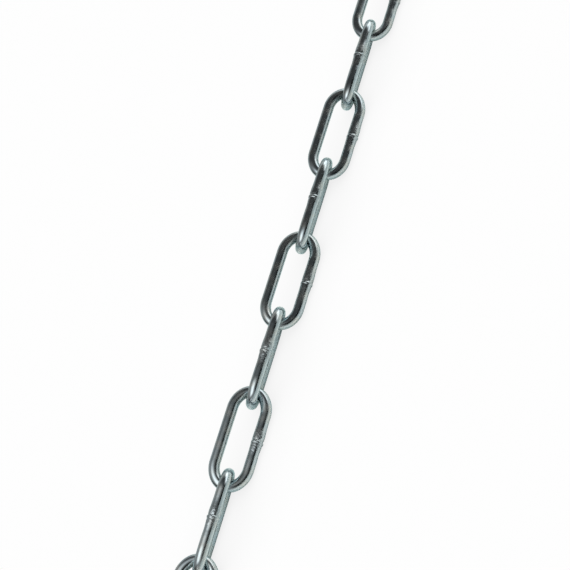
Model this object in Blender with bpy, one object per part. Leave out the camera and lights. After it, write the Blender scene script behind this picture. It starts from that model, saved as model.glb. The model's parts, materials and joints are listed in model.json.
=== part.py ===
"""A metre of long-link steel chain, welded from round wire and laid out straight on a level floor.

Units are metres and +Z is up. The chain runs along X, and its middle link lies over the origin.
Every link is one closed loop of wire with a butt weld in the middle of one side bar. The links lean
45 degrees to one side and to the other by turns, as a chain settles on a floor, so that each of them
lies along its lower side bar and the chain can't roll. The welds are all on the chain's -Y side: on the
lower side bar of the middle link and of every second one from it, and on the upper bar of the others.
"""

import math

import bpy
from mathutils import Vector

# Driving dimensions of the chain, a 4 x 32 long-link chain
WIRE_DIAMETER = 0.004
INNER_LENGTH = 0.032
INNER_WIDTH = 0.008
LINK_COUNT = 31
LEAN = math.radians(45)

# A link's rounded end is half an oval, longer along the link than it is wide. This is the depth of it,
# measured on the wire's middle line.
CROWN_LENGTH = 0.0078

# The play between the wires of two links where they cross
CROSSING_GAP = 0.0005

# The butt weld stands out from its side bar, on the side away from the eye
WELD_SWELLING = 0.0006
WELD_LENGTH = 0.010

# How finely the wire is cut into faces
WIRE_SIDES = 8
CROWN_STEPS = 10
WELD_STEPS = 4

# The side bar that a link's weld is on, once the link leans
UPPER_BAR = 1
LOWER_BAR = -1

# Sizes that follow from the driving dimensions
WIRE_RADIUS = WIRE_DIAMETER / 2
BAR_OFFSET = INNER_WIDTH / 2 + WIRE_RADIUS
CROWN_TIP = INNER_LENGTH / 2 + WIRE_RADIUS
HALF_STRAIGHT = CROWN_TIP - CROWN_LENGTH
CROSSING_OFFSET = WIRE_DIAMETER + CROSSING_GAP
LINK_SPACING = INNER_LENGTH - CROSSING_GAP
AXIS_HEIGHT = BAR_OFFSET * math.sin(LEAN) + WIRE_RADIUS

# The welds stand out towards -Y. The links lie half of that to +Y, so that the origin stays in the middle.
SIDE_SHIFT = WELD_SWELLING / 2 * (1 + math.cos(LEAN)) / 2

# A link's own origin is the point where it swings: the middle of its neighbour's wire, inside its eye
LINK_MIDDLE = CROWN_TIP - CROSSING_OFFSET

MIDDLE_LINK = (LINK_COUNT + 1) // 2


def clear_scene():
    """Removes the objects that a new scene comes with."""
    for found in list(bpy.data.objects):
        bpy.data.objects.remove(found)


def make_collection(name):
    """Adds a collection to the scene."""
    collection = bpy.data.collections.new(name)
    bpy.context.scene.collection.children.link(collection)
    return collection


def make_material(name, color, roughness, metallic):
    """Makes a material from a colour, a roughness and a metallic value."""
    material = bpy.data.materials.new(name)
    material.use_nodes = True
    shader = material.node_tree.nodes["Principled BSDF"]
    shader.inputs["Base Color"].default_value = (*color, 1.0)
    shader.inputs["Roughness"].default_value = roughness
    shader.inputs["Metallic"].default_value = metallic
    material.diffuse_color = (*color, 1.0)
    return material


def crown_stations(end):
    """Follows one rounded end of the link, anticlockwise. end is 1 at +X and -1 at -X."""
    stations = []
    for step in range(CROWN_STEPS + 1):
        angle = math.pi * (step / CROWN_STEPS - 0.5)
        along = end * (HALF_STRAIGHT + CROWN_LENGTH * math.cos(angle))
        across = end * BAR_OFFSET * math.sin(angle)
        stations.append((along, across, 1.0))
    return stations


def weld_stations():
    """Follows the weld on the side bar at +Y, from +X to -X.

    The wire thickens and moves outwards by the same amount, so its side towards the eye stays straight.
    """
    stations = []
    for step in range(WELD_STEPS + 1):
        share = step / WELD_STEPS
        along = WELD_LENGTH * (0.5 - share)
        swelling = WELD_SWELLING / 2 * math.sin(math.pi * share) ** 2
        stations.append((along, BAR_OFFSET + swelling, 1.0 + swelling / WIRE_RADIUS))
    return stations


def trim_underside(mesh):
    """Trims the weld of a lower side bar flush with the side of the bar that lies on the floor."""
    down = Vector((0.0, -math.sin(LEAN), -math.cos(LEAN)))
    for vertex in mesh.vertices:
        excess = vertex.co.dot(down) - AXIS_HEIGHT
        if excess > 0.0:
            vertex.co -= excess * down


def make_link_mesh(direction, weld_bar, material):
    """Bends round wire into one link, whose origin is where it swings on its neighbour.

    The link reaches from its origin towards +X where direction is 1, and towards -X where it is -1.
    """
    curve = bpy.data.curves.new("link_wire", type="CURVE")
    curve.dimensions = "3D"
    curve.fill_mode = "FULL"
    # A bevel resolution of n gives 2n + 4 sides. The flats, and not the edges, lie at the wire's radius.
    curve.bevel_resolution = (WIRE_SIDES - 4) // 2
    curve.bevel_depth = WIRE_RADIUS / math.cos(math.pi / WIRE_SIDES)

    stations = crown_stations(1) + weld_stations() + crown_stations(-1)
    spline = curve.splines.new("POLY")
    spline.points.add(len(stations) - 1)
    for point, (along, across, thickness) in zip(spline.points, stations):
        # The loop is the same after half a turn, which takes the weld to the other side bar
        point.co = (weld_bar * along + direction * LINK_MIDDLE, weld_bar * across, 0.0, 1.0)
        point.radius = thickness
        # Half a side of turn lays a flat towards the floor when the link leans
        point.tilt = math.pi / WIRE_SIDES
    spline.use_cyclic_u = True

    wire = bpy.data.objects.new("link_wire", curve)
    bpy.context.scene.collection.objects.link(wire)
    depsgraph = bpy.context.evaluated_depsgraph_get()
    mesh = bpy.data.meshes.new_from_object(wire.evaluated_get(depsgraph))
    mesh.name = "link"
    bpy.data.objects.remove(wire)
    bpy.data.curves.remove(curve)

    if weld_bar == LOWER_BAR:
        trim_underside(mesh)
    mesh.materials.clear()
    mesh.materials.append(material)
    mesh.shade_smooth()
    return mesh


def place_link(number, mesh, collection, location, turn, parent=None):
    """Adds link number, moved and turned about X from where its parent is."""
    link = bpy.data.objects.new(f"link_{number:02d}", mesh)
    link.location = location
    link.rotation_euler = (turn, 0.0, 0.0)
    link.parent = parent
    collection.objects.link(link)
    return link


def hang_run(middle, direction, material, collection):
    """Hangs the rest of the chain on one end of the middle link, each link in the one before it.

    direction is 1 towards +X and -1 towards -X.
    """
    lower_welded = make_link_mesh(direction, LOWER_BAR, material)
    upper_welded = make_link_mesh(direction, UPPER_BAR, material)
    parent = middle
    location = (LINK_SPACING if direction > 0 else -CROSSING_OFFSET, 0.0, 0.0)
    for step in range(1, LINK_COUNT - MIDDLE_LINK + 1):
        number = MIDDLE_LINK + direction * step
        if step % 2:
            parent = place_link(number, upper_welded, collection, location, math.pi / 2, parent)
        else:
            parent = place_link(number, lower_welded, collection, location, -math.pi / 2, parent)
        location = (direction * LINK_SPACING, 0.0, 0.0)


def main():
    clear_scene()
    collection = make_collection("long_link_steel_chain")
    zinc = make_material("bright_zinc_plated_steel", color=(0.60, 0.63, 0.63), roughness=0.22, metallic=1.0)
    middle_mesh = make_link_mesh(1, LOWER_BAR, zinc)
    middle_origin = (-LINK_MIDDLE, SIDE_SHIFT, AXIS_HEIGHT)
    middle = place_link(MIDDLE_LINK, middle_mesh, collection, middle_origin, LEAN)
    for direction in (1, -1):
        hang_run(middle, direction, zinc, collection)


main()
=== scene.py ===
# %% [markdown]
# # A metre of long-link steel chain, dressed for its picture
#
# The chain is thirty-one loops of 4 mm steel wire, each bent to a long oval, closed by a butt weld in the
# middle of one side bar, and plated with bright zinc. The engineering model already has every loop at its
# real size and in its real place, but with an eight-sided wire. This lesson makes the round, drawn, welded
# and plated wire that the eye expects, and hangs each new loop on the plain one that it stands for.

# %% Load the engineering model
import json
import math

import bpy
from mathutils import Matrix, Vector


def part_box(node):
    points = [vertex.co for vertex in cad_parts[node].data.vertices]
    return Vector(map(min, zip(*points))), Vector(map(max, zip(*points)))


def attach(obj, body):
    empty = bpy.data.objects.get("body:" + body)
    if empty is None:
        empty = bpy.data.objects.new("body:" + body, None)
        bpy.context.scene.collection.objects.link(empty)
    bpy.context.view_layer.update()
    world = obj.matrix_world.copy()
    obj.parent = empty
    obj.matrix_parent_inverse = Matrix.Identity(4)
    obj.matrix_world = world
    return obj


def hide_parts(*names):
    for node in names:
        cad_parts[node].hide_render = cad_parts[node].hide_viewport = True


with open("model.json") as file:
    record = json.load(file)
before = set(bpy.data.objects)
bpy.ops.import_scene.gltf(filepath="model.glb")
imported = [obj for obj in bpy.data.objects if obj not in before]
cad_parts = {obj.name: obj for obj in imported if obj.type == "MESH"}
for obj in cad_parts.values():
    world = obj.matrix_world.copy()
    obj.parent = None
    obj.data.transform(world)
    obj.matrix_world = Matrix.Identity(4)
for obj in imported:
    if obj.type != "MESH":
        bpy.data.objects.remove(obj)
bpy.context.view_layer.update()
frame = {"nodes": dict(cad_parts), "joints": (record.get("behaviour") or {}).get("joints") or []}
link_names = sorted(frame["nodes"])

# %% [markdown]
# ## Sizes
#
# The wire's size and the oval of a link are the numbers that a chain maker works from. The rest is read
# from the plain links: each box gives a link's middle and length, and the joints give the height and the
# side position of the chain's axis. The links lean 45 degrees to one side and to the other by turns. All
# the welds are on the chain's -Y side, so the welded bar of an even link is its lower one, and that of an
# odd link its upper one.

# %% Read the chain's sizes
MM = 0.001
WIRE_RADIUS = 2.0 * MM
BAR_OFFSET = 6.0 * MM
CROWN_DEPTH = 7.8 * MM
LEAN = math.radians(45)
WELDED_BAR_OF_EVEN_LINKS = math.radians(225)
WELDED_BAR_OF_ODD_LINKS = math.radians(135)

first_joint = frame["joints"][0]["pos_m"]
AXIS_SIDE = first_joint[1]
AXIS_HEIGHT = first_joint[2]
link_low, link_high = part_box("link_16")
CROWN_TIP = (link_high.x - link_low.x) / 2 - WIRE_RADIUS
HALF_STRAIGHT = CROWN_TIP - CROWN_DEPTH


def link_number(name):
    """The number at the end of a link's name, counted along the chain."""
    return int(name[-2:])


def link_middle(name):
    """The middle of a link, on the chain's axis."""
    low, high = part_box(name)
    return Vector(((low.x + high.x) / 2, AXIS_SIDE, AXIS_HEIGHT))


def welded_bar_angle(name):
    """The direction from the chain's axis to a link's welded bar, as an angle about X from +Y."""
    return WELDED_BAR_OF_ODD_LINKS if link_number(name) % 2 else WELDED_BAR_OF_EVEN_LINKS


print("axis at height", round(AXIS_HEIGHT / MM, 2), "mm")
print("straight bars", round(2 * HALF_STRAIGHT / MM, 1), "mm long")

# %% [markdown]
# ## The camera
#
# The photograph looks down on a few links near the middle of the chain, from about 0.6 m, across the chain
# and along it, and turned so that the chain climbs to the upper right. One link faces the camera and its
# neighbours show their edges. So the camera is set up from that link: a direction in the chain's own
# terms, a distance, how far the chain slopes in the picture, and where the link's middle falls in it.

# %% Place the camera
PICTURE_SIZE = 570
LINK_MIDDLE_PIXEL = (290.5, 280.1)
PIXELS_PER_METRE = 2743
CAMERA_DISTANCE = 0.600
ALONG_TILT = math.radians(22.3)
SIDE_TILT = math.radians(7.0)
CHAIN_SLOPE = math.radians(17.6)
SENSOR_WIDTH = 36.0

facing_link = link_middle("link_16")
along_chain = Vector((1, 0, 0))
face_normal = Vector((0, -math.sin(LEAN), math.cos(LEAN)))
towards_lower_bar = Vector((0, -math.cos(LEAN), -math.sin(LEAN)))
across_chain = math.cos(SIDE_TILT) * face_normal + math.sin(SIDE_TILT) * towards_lower_bar
to_camera = math.cos(ALONG_TILT) * across_chain - math.sin(ALONG_TILT) * along_chain
chain_in_picture = (along_chain - along_chain.dot(to_camera) * to_camera).normalized()
beside_chain = chain_in_picture.cross(to_camera)
picture_right = math.sin(CHAIN_SLOPE) * chain_in_picture + math.cos(CHAIN_SLOPE) * beside_chain
picture_up = to_camera.cross(picture_right)

right_of_centre = (LINK_MIDDLE_PIXEL[0] - PICTURE_SIZE / 2) / PIXELS_PER_METRE
above_centre = (PICTURE_SIZE / 2 - LINK_MIDDLE_PIXEL[1]) / PIXELS_PER_METRE
aim = facing_link - right_of_centre * picture_right - above_centre * picture_up

camera_data = bpy.data.cameras.new("camera")
camera_data.sensor_width = SENSOR_WIDTH
camera_data.lens = PIXELS_PER_METRE * CAMERA_DISTANCE * SENSOR_WIDTH / PICTURE_SIZE
camera_data.clip_start = 0.01
camera = bpy.data.objects.new("camera", camera_data)
camera_turn = Matrix((picture_right, picture_up, to_camera)).transposed().to_4x4()
camera.matrix_world = Matrix.Translation(aim + CAMERA_DISTANCE * to_camera) @ camera_turn
bpy.context.scene.collection.objects.link(camera)
bpy.context.scene.camera = camera
print("lens", round(camera_data.lens, 1), "mm, camera at", [round(c, 3) for c in camera.location])

# %% [markdown]
# ## Helpers for node trees
#
# Shapes, finishes and light are all made of nodes here, so a few helpers keep the cells short. One adds a
# node and fills or links its inputs, and two more add a piece of arithmetic and give back its result.


# %% Helpers that add nodes
def add_node(tree, kind, inputs=None, **settings):
    """Adds a node. inputs maps a socket's name or number to a value, or to an output to link from."""
    made = tree.nodes.new(kind)
    for setting, value in settings.items():
        setattr(made, setting, value)
    for socket, value in (inputs or {}).items():
        if isinstance(value, bpy.types.NodeSocket):
            tree.links.new(value, made.inputs[socket])
        else:
            made.inputs[socket].default_value = value
    return made


def calculate(tree, operation, *values):
    """Adds a Math node and gives back its output."""
    return add_node(tree, "ShaderNodeMath", dict(enumerate(values)), operation=operation).outputs[0]


def calculate_vector(tree, operation, *values):
    """Adds a Vector Math node and gives back its vector."""
    return add_node(tree, "ShaderNodeVectorMath", dict(enumerate(values)), operation=operation).outputs[0]


def ramp(tree, value, first, last, low, high, smooth="SMOOTHSTEP"):
    """Maps a value from the stretch first to last onto low to high, softly at both ends."""
    inputs = {"Value": value, "From Min": first, "From Max": last, "To Min": low, "To Max": high}
    return add_node(tree, "ShaderNodeMapRange", inputs, interpolation_type=smooth).outputs[0]


print("helpers ready")

# %% [markdown]
# ## The link
#
# On the machine a link starts as a cut of straight wire, which is bent round until its two ends meet and
# are welded. The node tree does much the same. A circle is drawn out into two half ovals and pulled apart,
# so that straight side bars open between them, and its start lies in the middle of the welded bar. The
# wire is then swept along it. All the sizes are inputs of the tree, so the same tree would make any other
# size of long-link chain.

# %% Start the tree and bend the wire's path
PATH_POINTS = 160
STATION_LENGTH = 0.17 * MM
SECTION_SIDES = 28
SHARP_STEP = 1000.0

LINK_INPUTS = (
    ("Wire Radius", "NodeSocketFloat", WIRE_RADIUS),
    ("Bar Offset", "NodeSocketFloat", BAR_OFFSET),
    ("Crown Depth", "NodeSocketFloat", CROWN_DEPTH),
    ("Half Straight", "NodeSocketFloat", HALF_STRAIGHT),
    ("Weld Swelling", "NodeSocketFloat", 0.24 * MM),
    ("Weld Half Length", "NodeSocketFloat", 7.0 * MM),
    ("Weld Wander", "NodeSocketFloat", 0.8 * MM),
    ("Weld Roughness", "NodeSocketFloat", 0.14 * MM),
    ("Waviness", "NodeSocketFloat", 0.012 * MM),
    ("Middle", "NodeSocketVector", (0.0, 0.0, 0.0)),
    ("Welded Bar Angle", "NodeSocketFloat", 0.0),
    ("Seed", "NodeSocketInt", 0),
    ("Finish", "NodeSocketMaterial", None),
)  # fmt: skip

link_tree = bpy.data.node_groups.new("welded_link", "GeometryNodeTree")
for input_name, socket_type, default in LINK_INPUTS:
    new_input = link_tree.interface.new_socket(input_name, in_out="INPUT", socket_type=socket_type)
    if default is not None:
        new_input.default_value = default
link_tree.interface.new_socket("Link", in_out="OUTPUT", socket_type="NodeSocketGeometry")
given = link_tree.nodes.new("NodeGroupInput").outputs

circle = add_node(link_tree, "GeometryNodeCurvePrimitiveCircle", {"Resolution": PATH_POINTS, "Radius": 1.0})
turn_share = add_node(link_tree, "GeometryNodeSplineParameter").outputs["Factor"]
turn_angle = calculate(link_tree, "MULTIPLY_ADD", turn_share, 2 * math.pi, math.pi / 2)
cosine = calculate(link_tree, "COSINE", turn_angle)
sine = calculate(link_tree, "SINE", turn_angle)
end_side = calculate(link_tree, "MINIMUM", calculate(link_tree, "MULTIPLY", cosine, SHARP_STEP), 1.0)
end_side = calculate(link_tree, "MAXIMUM", end_side, -1.0)
crown = calculate(link_tree, "MULTIPLY", cosine, given["Crown Depth"])
path_along = calculate(link_tree, "MULTIPLY_ADD", end_side, given["Half Straight"], crown)
path_across = calculate(link_tree, "MULTIPLY", sine, given["Bar Offset"])
path_place = add_node(link_tree, "ShaderNodeCombineXYZ", {"X": path_along, "Y": path_across})
path = add_node(
    link_tree, "GeometryNodeSetPosition", {"Geometry": circle.outputs[0], "Position": path_place.outputs[0]}
)
cutting = {"Curve": path.outputs[0], "Length": STATION_LENGTH}
stations = add_node(link_tree, "GeometryNodeResampleCurve", cutting, mode="LENGTH")
print("path of", PATH_POINTS, "points, cut again every", round(STATION_LENGTH / MM, 2), "mm")

# %% [markdown]
# The finish needs to know where on the wire it is: how far along, and where around. Both are written down
# while the path and the round section are still curves. The links are cut one after the other from one
# coil of wire, so the distance along goes on from link to link, and no two links get the same marks. The
# place around is kept as a point on a circle, because an angle would jump from one turn to the next.

# %% Sweep the round wire and keep its own coordinates
WIRE_IN_ONE_LINK = 0.1


def store(tree, geometry, name, value, data_type="FLOAT"):
    """Writes a value on every point of a curve or mesh, under a name that the finish reads."""
    inputs = {"Geometry": geometry, "Name": name, "Value": value}
    return add_node(tree, "GeometryNodeStoreNamedAttribute", inputs, data_type=data_type).outputs[0]


distance = add_node(link_tree, "GeometryNodeSplineParameter").outputs["Length"]
distance = calculate(link_tree, "MULTIPLY_ADD", given["Seed"], WIRE_IN_ONE_LINK, distance)
marked_path = store(link_tree, stations.outputs[0], "along", distance)
flat_path = add_node(link_tree, "GeometryNodeSetCurveNormal", {"Curve": marked_path}, mode="Z_UP")
circle_of_one = {"Resolution": SECTION_SIDES, "Radius": 1.0}
section = add_node(link_tree, "GeometryNodeCurvePrimitiveCircle", circle_of_one)
section_place = add_node(link_tree, "GeometryNodeInputPosition").outputs[0]
marked_section = store(link_tree, section.outputs[0], "around", section_place, "FLOAT_VECTOR")
sweep_inputs = {"Curve": flat_path.outputs[0], "Profile Curve": marked_section, "Scale": given["Wire Radius"]}
wire = add_node(link_tree, "GeometryNodeCurveToMesh", sweep_inputs).outputs[0]
print("section of", SECTION_SIDES, "sides")

# %% [markdown]
# ## Where the links bear
#
# The inside of each crown rubs on its neighbour's, which burnishes the plating. The distance from the
# middle of that spot makes a mask for the finish, one at each end of the link.

# %% Mark the bearing spots
BURNISHED = 1.3 * MM
UNTOUCHED = 2.7 * MM

place = add_node(link_tree, "GeometryNodeInputPosition").outputs[0]
place_parts = add_node(link_tree, "ShaderNodeSeparateXYZ", {0: place}).outputs
crown_inside = calculate(link_tree, "ADD", given["Half Straight"], given["Crown Depth"])
crown_inside = calculate(link_tree, "SUBTRACT", crown_inside, given["Wire Radius"])
bearing_spot = add_node(link_tree, "ShaderNodeCombineXYZ", {"X": crown_inside}).outputs[0]
folded_place = calculate_vector(link_tree, "ABSOLUTE", place)
from_spot = add_node(
    link_tree, "ShaderNodeVectorMath", {0: folded_place, 1: bearing_spot}, operation="DISTANCE"
).outputs["Value"]
bearing = ramp(link_tree, from_spot, BURNISHED, UNTOUCHED, 1.0, 0.0)
wire = store(link_tree, wire, "bearing", bearing)
print("bearing spots", round(2 * BURNISHED / MM, 1), "mm across")

# %% [markdown]
# ## The weld
#
# The wire's two hot ends were pressed together, so the bar is thicker there. A low collar of squeezed-out
# metal runs round it in the middle, and one of the two grips that held the bar has pressed it in a little.
# A Float Curve node holds that profile along the bar, as a maker would draw it. Noise moves the profile
# to and fro, so that the collar wanders round the wire and is never the same twice. The swelling pushes
# the surface along its normal and, a little, away from the eye.

# %% Swell the wire at its weld
WELD_PROFILE = (
    (0.0, 0.0), (0.09, -0.1), (0.18, -0.22), (0.28, -0.12), (0.37, 0.15), (0.43, 0.25), (0.45, 0.2),
    (0.474, 1.0), (0.485, 1.25), (0.510, 1.3), (0.52, 1.15), (0.556, 0.15), (0.575, 0.25), (0.62, 0.6),
    (0.7, 0.6), (0.8, 0.36), (0.9, 0.12), (1.0, 0.0),
)  # fmt: skip
OUTWARD_SHARE = 0.4
WANDER_SCALE = 420.0
LINK_TO_LINK = 7.31

seed_place = calculate(link_tree, "MULTIPLY", given["Seed"], LINK_TO_LINK)


def link_noise(scale, detail):
    """Noise about zero over the link, in another part of it for each seed."""
    inputs = {"Vector": place, "W": seed_place, "Scale": scale, "Detail": detail}
    noise = add_node(link_tree, "ShaderNodeTexNoise", inputs, noise_dimensions="4D").outputs[0]
    return calculate(link_tree, "SUBTRACT", noise, 0.5)


wander = calculate(link_tree, "MULTIPLY", link_noise(WANDER_SCALE, 1.0), given["Weld Wander"])
from_weld = calculate(link_tree, "ADD", place_parts["X"], wander)
weld_start = calculate(link_tree, "MULTIPLY", given["Weld Half Length"], -1.0)
weld_share = ramp(link_tree, from_weld, weld_start, given["Weld Half Length"], 0.0, 1.0, "LINEAR")
profile = add_node(link_tree, "ShaderNodeFloatCurve", {"Value": weld_share})
profile.mapping.clip_min_y = -1.0
profile_points = profile.mapping.curves[0].points
for point, ends in zip(profile_points, (WELD_PROFILE[0], WELD_PROFILE[-1])):
    point.location = ends
for share, height in WELD_PROFILE[1:-1]:
    profile_points.new(share, height)
profile.mapping.update()
on_welded_bar = calculate(link_tree, "GREATER_THAN", place_parts["Y"], 0.0)
swelling = calculate(link_tree, "MULTIPLY", profile.outputs[0], on_welded_bar)
near_weld = calculate(link_tree, "ABSOLUTE", calculate(link_tree, "SUBTRACT", weld_share, 0.5))
near_weld = ramp(link_tree, near_weld, 0.5, 0.1, 0.0, 1.0)
weld_here = calculate(link_tree, "MULTIPLY", near_weld, on_welded_bar)
wire = store(link_tree, wire, "weld", weld_here)

normal = add_node(link_tree, "GeometryNodeInputNormal").outputs["Normal"]
outwards = calculate_vector(link_tree, "ADD", normal, (0.0, OUTWARD_SHARE, 0.0))
swelling = calculate(link_tree, "MULTIPLY", swelling, given["Weld Swelling"])
swell = add_node(link_tree, "ShaderNodeVectorMath", {0: outwards, "Scale": swelling}, operation="SCALE")
swell_inputs = {"Geometry": wire, "Offset": swell.outputs[0]}
wire = add_node(link_tree, "GeometryNodeSetPosition", swell_inputs).outputs[0]
print("weld profile of", len(WELD_PROFILE), "points")

# %% [markdown]
# Nothing on the real wire is quite true. Bending and tumbling leave it very slightly wavy, which is what
# makes the long reflections in it wander, and the weld zone is pitted. Some welds come out clean, with a
# sharp collar, and others are rough all over, so a White Noise node turns each link's seed into a share of
# pitting. Waves and pits are noise along the normal. The waves lie a little under the true surface, so
# that the dressed link stays inside the plain one.

# %% Make the wire uneven
WAVE_SCALE = 240.0
WAVE_DEPTH = 0.12
PIT_SCALE = 1300.0
CLEANEST_WELD = 0.1
PITTING_SEED = 38.5

weld_lot = calculate(link_tree, "ADD", given["Seed"], PITTING_SEED)
weld_lot = add_node(link_tree, "ShaderNodeTexWhiteNoise", {"W": weld_lot}, noise_dimensions="1D").outputs[0]
pitting = calculate(link_tree, "MULTIPLY_ADD", weld_lot, 1.0 - CLEANEST_WELD, CLEANEST_WELD)
pitted_here = calculate(link_tree, "MULTIPLY", weld_here, pitting)
wire = store(link_tree, wire, "pitted", pitted_here)
waves = calculate(link_tree, "SUBTRACT", link_noise(WAVE_SCALE, 1.0), WAVE_DEPTH)
waves = calculate(link_tree, "MULTIPLY", waves, given["Waviness"])
pits = calculate(link_tree, "MULTIPLY", link_noise(PIT_SCALE, 2.0), given["Weld Roughness"])
pitted = add_node(link_tree, "GeometryNodeInputNamedAttribute", {"Name": "pitted"}, data_type="FLOAT")
relief = calculate(link_tree, "MULTIPLY_ADD", pits, pitted.outputs[0], waves)
swollen_normal = add_node(link_tree, "GeometryNodeInputNormal").outputs["Normal"]
roughen = add_node(
    link_tree, "ShaderNodeVectorMath", {0: swollen_normal, "Scale": relief}, operation="SCALE"
)
roughen_inputs = {"Geometry": wire, "Offset": roughen.outputs[0]}
wire = add_node(link_tree, "GeometryNodeSetPosition", roughen_inputs).outputs[0]
print("waves and pits added")

# %% [markdown]
# Last, the loop is set on a point at its place in the chain, turned about the chain's axis, and made real.
# A weld on a lower bar would stand below the floor. The plain link has it trimmed flush, so everything
# under the floor's height is lifted to it.

# %% Put the link in its place
FAR_BELOW = -10.0

point = add_node(link_tree, "GeometryNodePoints", {"Count": 1, "Position": given["Middle"]})
link_turn = add_node(link_tree, "ShaderNodeCombineXYZ", {"X": given["Welded Bar Angle"]})
placing = {"Points": point.outputs[0], "Instance": wire, "Rotation": link_turn.outputs[0]}
placed = add_node(link_tree, "GeometryNodeInstanceOnPoints", placing)
real = add_node(link_tree, "GeometryNodeRealizeInstances", {"Geometry": placed.outputs[0]})
final_place = add_node(link_tree, "GeometryNodeInputPosition").outputs[0]
above_floor = calculate_vector(link_tree, "MAXIMUM", final_place, (FAR_BELOW, FAR_BELOW, 0.0))
trimming = {"Geometry": real.outputs[0], "Position": above_floor}
trimmed = add_node(link_tree, "GeometryNodeSetPosition", trimming)
smooth = add_node(link_tree, "GeometryNodeSetShadeSmooth", {"Geometry": trimmed.outputs[0]})
finishing = {"Geometry": smooth.outputs[0], "Material": given["Finish"]}
finished = add_node(link_tree, "GeometryNodeSetMaterial", finishing)
link_output = link_tree.nodes.new("NodeGroupOutput")
link_tree.links.new(finished.outputs[0], link_output.inputs["Link"])
print("tree of", len(link_tree.nodes), "nodes")

# %% [markdown]
# ## The finish
#
# Bright zinc is a thin plated skin over drawn steel, sealed in a bath that leaves it faintly blue. It is
# metal all through, so nearly all of its look is reflection: what matters is how its surface scatters and
# bends the light. Four things do that here. The die that drew the wire left fine lines along it. The
# plating has a skin like an orange's, and a fine grain. And the bath dried in patches, some bluish and
# glossy, some straw-coloured and duller. The patches and the skin read the place in space, and the lines
# read the place on the wire, squeezed along its length so that round noise is drawn out into lines.

# %% Read the marks and make the patterns
DRAWN_OUT = 0.035
LINE_SCALE = 3000.0
PATCH_SCALE = 260.0
SKIN_SCALE = 1500.0
GRAIN_SCALE = 9000.0

zinc = bpy.data.materials.new("bright_zinc_on_steel_wire")
zinc.use_nodes = True
zinc_tree = zinc.node_tree


def read_mark(name, output="Fac"):
    """Reads what the link's tree wrote on the wire."""
    return add_node(zinc_tree, "ShaderNodeAttribute", attribute_name=name).outputs[output]


def pattern(at, scale, detail):
    """Noise from 0 to 1, mostly near the middle."""
    inputs = {"Vector": at, "Scale": scale, "Detail": detail}
    return add_node(zinc_tree, "ShaderNodeTexNoise", inputs).outputs[0]


in_space = add_node(zinc_tree, "ShaderNodeTexCoord").outputs["Object"]
squeezed = calculate(zinc_tree, "MULTIPLY", read_mark("along"), DRAWN_OUT)
squeezed = add_node(zinc_tree, "ShaderNodeCombineXYZ", {"Z": squeezed}).outputs[0]
radii = (WIRE_RADIUS, WIRE_RADIUS, WIRE_RADIUS)
on_wire = calculate_vector(zinc_tree, "MULTIPLY_ADD", read_mark("around", "Vector"), radii, squeezed)

lines = pattern(on_wire, LINE_SCALE, 2.0)
patches = pattern(in_space, PATCH_SCALE, 4.0)
skin = pattern(in_space, SKIN_SCALE, 2.0)
grain = pattern(in_space, GRAIN_SCALE, 1.0)
weld_mark = read_mark("weld")
pitted_mark = read_mark("pitted")
bearing_mark = read_mark("bearing")
print("lines, patches, skin and grain drawn out of noise")

# %% [markdown]
# The colour goes from the bluish patches to the straw-coloured ones by a Color Ramp. The weld was burnt
# before the plating and takes it darker, in flecks, and the bearing spots show warmer steel through it.

# %% Colour the zinc
BLUISH = (0.465, 0.540, 0.570, 1.0)
CLEAR = (0.500, 0.565, 0.575, 1.0)
STRAW = (0.540, 0.570, 0.555, 1.0)
BURNT = (0.400, 0.440, 0.450, 1.0)
BARE_STEEL = (0.500, 0.490, 0.475, 1.0)


def blend_colours(share, first, second):
    """Mixes two colours."""
    mix = add_node(zinc_tree, "ShaderNodeMix", {"Factor": share, 6: first, 7: second}, data_type="RGBA")
    return mix.outputs[2]


bath = add_node(zinc_tree, "ShaderNodeValToRGB", {"Fac": patches})
bath_stops = bath.color_ramp.elements
bath_stops[0].position = 0.38
bath_stops[0].color = BLUISH
bath_stops[1].position = 0.64
bath_stops[1].color = STRAW
bath_stops.new(0.50).color = CLEAR
flecks = calculate(zinc_tree, "MULTIPLY", weld_mark, ramp(zinc_tree, skin, 0.42, 0.58, 0.15, 0.8))
zinc_colour = blend_colours(flecks, bath.outputs["Color"], BURNT)
worn = calculate(zinc_tree, "MULTIPLY", bearing_mark, 0.7)
zinc_colour = blend_colours(worn, zinc_colour, BARE_STEEL)
print("bath from", BLUISH[:3], "to", STRAW[:3])

# %% [markdown]
# Roughness is a sum: a base, more in the dull patches and between the drawn lines, more at the weld, less
# on the bearing spots. The relief is a sum of heights in metres, so the Bump node's own distance is one.
# Each is a few thousandths of a millimetre, but at a pitted weld, which sparks and scale have marked, the
# skin is far deeper. The weld's own mark comes in once more to keep those pits close to the collar.

# %% Set the gloss and the relief
GLOSSIEST = 0.15
DULL_PATCH = 0.12
DULL_LINE = 0.045
DULL_WELD = 0.05
BURNISHING = 0.07
LINE_HEIGHT = 0.002 * MM
SKIN_HEIGHT = 0.005 * MM
GRAIN_HEIGHT = 0.0012 * MM
WELD_HEIGHT = 0.28 * MM
EDGE_TINT = (0.84, 0.95, 0.95, 1.0)

roughness = ramp(zinc_tree, patches, 0.40, 0.66, GLOSSIEST, GLOSSIEST + DULL_PATCH)
roughness = calculate(zinc_tree, "ADD", roughness, ramp(zinc_tree, lines, 0.45, 0.70, 0.0, DULL_LINE))
roughness = calculate(zinc_tree, "MULTIPLY_ADD", weld_mark, DULL_WELD, roughness)
roughness = calculate(zinc_tree, "MULTIPLY_ADD", bearing_mark, -BURNISHING, roughness)

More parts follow.
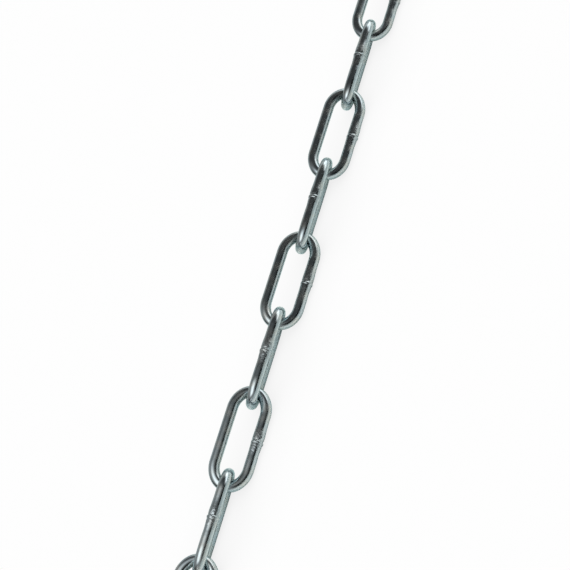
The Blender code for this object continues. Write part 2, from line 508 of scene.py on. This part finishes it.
relief_height = calculate(zinc_tree, "MULTIPLY", lines, LINE_HEIGHT)
relief_height = calculate(zinc_tree, "MULTIPLY_ADD", skin, SKIN_HEIGHT, relief_height)
relief_height = calculate(zinc_tree, "MULTIPLY_ADD", grain, GRAIN_HEIGHT, relief_height)
weld_pits = calculate(zinc_tree, "MULTIPLY", pitted_mark, weld_mark)
weld_relief = calculate(zinc_tree, "MULTIPLY", skin, weld_pits)
relief_height = calculate(zinc_tree, "MULTIPLY_ADD", weld_relief, WELD_HEIGHT, relief_height)
bump = add_node(zinc_tree, "ShaderNodeBump", {"Height": relief_height, "Distance": 1.0, "Strength": 1.0})

zinc_shader = zinc_tree.nodes["Principled BSDF"]
zinc_shader.inputs["Metallic"].default_value = 1.0
zinc_shader.inputs["Specular Tint"].default_value = EDGE_TINT
zinc_tree.links.new(zinc_colour, zinc_shader.inputs["Base Color"])
zinc_tree.links.new(roughness, zinc_shader.inputs["Roughness"])
zinc_tree.links.new(bump.outputs[0], zinc_shader.inputs["Normal"])
zinc.diffuse_color = CLEAR
print("finish", zinc.name, "of", len(zinc_tree.nodes), "nodes")

# %% [markdown]
# ## Thirty-one links
#
# One tree makes every link. A throwaway object carries the tree as a modifier, gets this link's middle,
# lean, seed and finish, and its evaluated shape is kept as a plain mesh. That mesh rides on the body of
# the plain link that it stands for, and hides it.

# %% Make every link
socket_of = {item.name: item.identifier for item in link_tree.interface.items_tree if item.in_out == "INPUT"}


def make_link(name):
    """Runs the tree for one link and gives back a plain mesh object, with its place in its mesh."""
    maker = bpy.data.objects.new("maker", bpy.data.meshes.new("maker"))
    bpy.context.scene.collection.objects.link(maker)
    modifier = maker.modifiers.new("welded link", "NODES")
    modifier.node_group = link_tree
    modifier[socket_of["Middle"]] = link_middle(name)
    modifier[socket_of["Welded Bar Angle"]] = welded_bar_angle(name)
    modifier[socket_of["Seed"]] = link_number(name)
    modifier[socket_of["Finish"]] = zinc
    mesh = bpy.data.meshes.new_from_object(maker.evaluated_get(bpy.context.evaluated_depsgraph_get()))
    bpy.data.objects.remove(maker)
    mesh.name = "wire_" + name
    made = bpy.data.objects.new(mesh.name, mesh)
    bpy.context.scene.collection.objects.link(made)
    return made


triangles = 0
for name in link_names:
    link = make_link(name)
    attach(link, name)
    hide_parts(name)
    link.data.calc_loop_triangles()
    triangles += len(link.data.loop_triangles)
print(len(link_names), "links,", triangles, "triangles")

# %% [markdown]
# ## The studio
#
# The chain lies on satin white paper. For the metal the paper carries painted light and shade by its distance
# from the chain: a painted shadow, greyer and faintly blue-green, straight under the chain, a painted band of
# light, white, close beside it, and painted dimming to grey and faintly blue-green further off. This gives
# the pale side of each bar its colour. The camera sees plain white, with a faint soft shadow under the wire.
# For the camera the paper is clear, and only darkens what is behind it wherever the chain keeps the light
# off, so a link that swings down through the paper still shows. A Light Path node tells the two apart, which
# suits the paper alone, because it is stage and no part of the object.

# %% Lay the paper
PAPER_SIZE = 6.0
PAPER_GAP = 0.05 * MM
# Painted light and shade on the paper, as the metal sees it: a painted shadow under the chain, a painted band
# of light beside it, and painted dimming further off.
PAPER_PAINTED_LIGHT_AND_SHADE = (
    (4.5 * MM, (0.66, 0.75, 0.73, 1.0)),
    (7.0 * MM, (0.95, 0.95, 0.91, 1.0)),
    (22.0 * MM, (0.55, 0.60, 0.585, 1.0)),
)  # fmt: skip
PAPER_GLOSS = 1.0
PAPER_ROUGHNESS = 0.45
SHADOW_REACH = 25.0 * MM
DEEPEST_SHADOW = 0.82

bpy.ops.mesh.primitive_plane_add(size=PAPER_SIZE, location=(0, 0, -PAPER_GAP))
floor = bpy.context.active_object
floor.name = "floor"
paper = bpy.data.materials.new("white_paper")
paper.use_nodes = True
paper_tree = paper.node_tree
paper_place = add_node(paper_tree, "ShaderNodeTexCoord").outputs["Object"]
sideways = add_node(paper_tree, "ShaderNodeSeparateXYZ", {0: paper_place}).outputs["Y"]
widest = PAPER_PAINTED_LIGHT_AND_SHADE[-1][0]
sideways = calculate(paper_tree, "DIVIDE", calculate(paper_tree, "ABSOLUTE", sideways), widest)
# This ramp paints that light and shade on the paper, by the distance sideways from its middle line under the
# chain.
painted_light_and_shade = add_node(paper_tree, "ShaderNodeValToRGB", {"Fac": sideways})
painted_light_and_shade.color_ramp.interpolation = "EASE"
painted_shade_stops = painted_light_and_shade.color_ramp.elements
for stop, (off, shade) in zip(painted_shade_stops, (PAPER_PAINTED_LIGHT_AND_SHADE[0], PAPER_PAINTED_LIGHT_AND_SHADE[-1])):
    stop.position = off / widest
    stop.color = shade
for off, shade in PAPER_PAINTED_LIGHT_AND_SHADE[1:-1]:
    painted_shade_stops.new(off / widest).color = shade

paper_shader = paper_tree.nodes["Principled BSDF"]
paper_shader.inputs["Roughness"].default_value = PAPER_ROUGHNESS
paper_shader.inputs["Specular IOR Level"].default_value = PAPER_GLOSS
paper_tree.links.new(painted_light_and_shade.outputs["Color"], paper_shader.inputs["Base Color"])
open_share = add_node(paper_tree, "ShaderNodeAmbientOcclusion", {"Distance": SHADOW_REACH}).outputs["AO"]
shadow = calculate(paper_tree, "MULTIPLY_ADD", open_share, 1.0 - DEEPEST_SHADOW, DEEPEST_SHADOW)
clear_paper = add_node(paper_tree, "ShaderNodeBsdfTransparent", {"Color": shadow}).outputs[0]
to_camera_eye = add_node(paper_tree, "ShaderNodeLightPath").outputs["Is Camera Ray"]
paper_mix = {0: to_camera_eye, 1: paper_shader.outputs[0], 2: clear_paper}
paper_surface = add_node(paper_tree, "ShaderNodeMixShader", paper_mix).outputs[0]
paper_tree.links.new(paper_surface, paper_tree.nodes["Material Output"].inputs["Surface"])
floor.data.materials.append(paper)
print("paper", PAPER_SIZE, "m square")

# %% [markdown]
# A polished rod shows its studio as long stripes, so the studio is drawn for the metal. The pictured links
# lie at different places under one soft box that hangs close above them: the lower links still catch its
# edge, the upper ones don't. A light as near as that can't be part of the world, so it is a real panel. It
# is seen in reflections only, and more of them hang in a row along the chain for the other views.

# %% Hang the soft boxes
PANEL_HEIGHT = 0.216
PANEL_SIZE = 3.0
BOX_SPACING = 0.75
BRIGHT_BOX = ((-0.19, -0.05), (0.06, 0.04), (0.15, 0.13), 1.45)
DIM_BOX = ((-0.19, 0.03), (0.10, 0.30), (0.20, 0.12), 0.27)

bpy.ops.mesh.primitive_plane_add(size=PANEL_SIZE, location=(0, 0, PANEL_HEIGHT))
panel = bpy.context.active_object
panel.name = "soft_boxes"
panel.visible_camera = False
panel.visible_diffuse = False
panel.visible_shadow = False
glow = bpy.data.materials.new("soft_box_cloth")
glow.use_nodes = True
glow_tree = glow.node_tree
glow_tree.nodes.clear()
panel_place = add_node(glow_tree, "ShaderNodeTexCoord").outputs["Object"]


def add_box(light_so_far, middle, half_size, edge, light):
    """Adds a soft-edged box of light to the panel, and its like all along the chain."""
    from_box = calculate_vector(glow_tree, "SUBTRACT", panel_place, (*middle, 0.0))
    from_box = add_node(glow_tree, "ShaderNodeSeparateXYZ", {0: from_box}).outputs
    along_box = calculate(glow_tree, "WRAP", from_box["X"], BOX_SPACING / 2, -BOX_SPACING / 2)
    shown = light
    for off, half, soft in zip((along_box, from_box["Y"]), half_size, edge):
        off = calculate(glow_tree, "ABSOLUTE", off)
        shown = calculate(glow_tree, "MULTIPLY", shown, ramp(glow_tree, off, half + soft, half, 0.0, 1.0))
    return calculate(glow_tree, "ADD", light_so_far, shown)


brightness = add_box(0.0, *BRIGHT_BOX)
brightness = add_box(brightness, *DIM_BOX)
lit_cloth = add_node(glow_tree, "ShaderNodeEmission", {"Strength": brightness}).outputs[0]
clear_cloth = add_node(glow_tree, "ShaderNodeBsdfTransparent").outputs[0]
cloth = add_node(glow_tree, "ShaderNodeAddShader", {0: lit_cloth, 1: clear_cloth}).outputs[0]
add_node(glow_tree, "ShaderNodeOutputMaterial", {"Surface": cloth})
panel.data.materials.append(glow)
print("soft boxes every", BOX_SPACING, "m at height", PANEL_HEIGHT, "m")

# %% [markdown]
# The rest of the studio is far enough away to be drawn by the world, by direction: a dark room, a bright
# window low at the far end of the chain, which makes the white caps, and two paler walls. The cards that
# draw them are soft-edged, as things out of focus in a reflection are. A picture cuts off whatever is
# whiter than white, but the pale sheen of a window on paper is far below that and shows how bright it
# really is. So the ray's depth tells the metal's own view of the window, which stays just past white, from
# the view by way of the paper, which gets the window's full light. Only mirror-like rays see this room.
# The paper's light is a plain white world, and so is what the camera sees through the clear paper.

# %% Draw the room
WHITE = 0.99
PAPER_LIGHT = 1.3
ROOM = 0.08
FLOOR_EDGE = 0.02
FLOOR_EDGE_SIDE = -0.92
ROOM_SIDE = -0.68
WINDOW_IN_METAL = 1.30
WINDOW_IN_PAPER = 2.4
UP = (0, 0, 1)

world = bpy.data.worlds.new("studio")
bpy.context.scene.world = world
world.use_nodes = True
world.cycles.sampling_method = "NONE"
studio = world.node_tree
studio.nodes.clear()
direction = add_node(studio, "ShaderNodeTexCoord").outputs["Generated"]


def measure_along(axis):
    """How far the direction of view reaches along an axis."""
    inputs = {0: direction, 1: axis}
    return add_node(studio, "ShaderNodeVectorMath", inputs, operation="DOT_PRODUCT").outputs["Value"]


def add_card(light_so_far, aim_at, half_size, edge, brightness):
    """Adds a soft-edged light far away in one direction. Sizes are per unit of distance."""
    aim_at = Vector(aim_at).normalized()
    side = aim_at.cross(Vector(UP)).normalized()
    up = side.cross(aim_at)
    ahead = measure_along(aim_at)
    shown = calculate(studio, "GREATER_THAN", ahead, 0.0)
    for axis, half, soft in zip((side, up), half_size, edge):
        off = calculate(studio, "ABSOLUTE", calculate(studio, "DIVIDE", measure_along(axis), ahead))
        shown = calculate(studio, "MULTIPLY", shown, ramp(studio, off, half + soft, half, 0.0, 1.0))
    return calculate(studio, "MULTIPLY_ADD", shown, brightness, light_so_far)


in_metal = ramp(studio, measure_along((0, 1, 0)), FLOOR_EDGE_SIDE, ROOM_SIDE, FLOOR_EDGE, ROOM)
ray = add_node(studio, "ShaderNodeLightPath").outputs
window = ramp(studio, ray["Ray Depth"], 1.0, 2.0, WINDOW_IN_METAL, WINDOW_IN_PAPER, "LINEAR")
in_metal = add_card(in_metal, (0.93, -0.37, 0.0), (0.36, 0.08), (0.42, 0.52), window)
in_metal = add_card(in_metal, (0.62, 0.77, 0.14), (0.90, 0.15), (0.90, 0.80), 0.50)
in_metal = add_card(in_metal, (-0.90, -0.42, 0.25), (0.30, 0.30), (0.50, 0.50), 0.30)
room = add_node(studio, "ShaderNodeBackground", {"Strength": in_metal}).outputs[0]
behind = calculate(studio, "MULTIPLY_ADD", ray["Is Camera Ray"], WHITE - PAPER_LIGHT, PAPER_LIGHT)
white = add_node(studio, "ShaderNodeBackground", {"Color": (1, 1, 1, 1), "Strength": behind}).outputs[0]
lit = add_node(studio, "ShaderNodeMixShader", {0: ray["Is Glossy Ray"], 1: white, 2: room}).outputs[0]
add_node(studio, "ShaderNodeOutputWorld", {"Surface": lit})
bpy.context.scene.view_settings.view_transform = "Standard"
print("studio of", len(studio.nodes), "nodes")
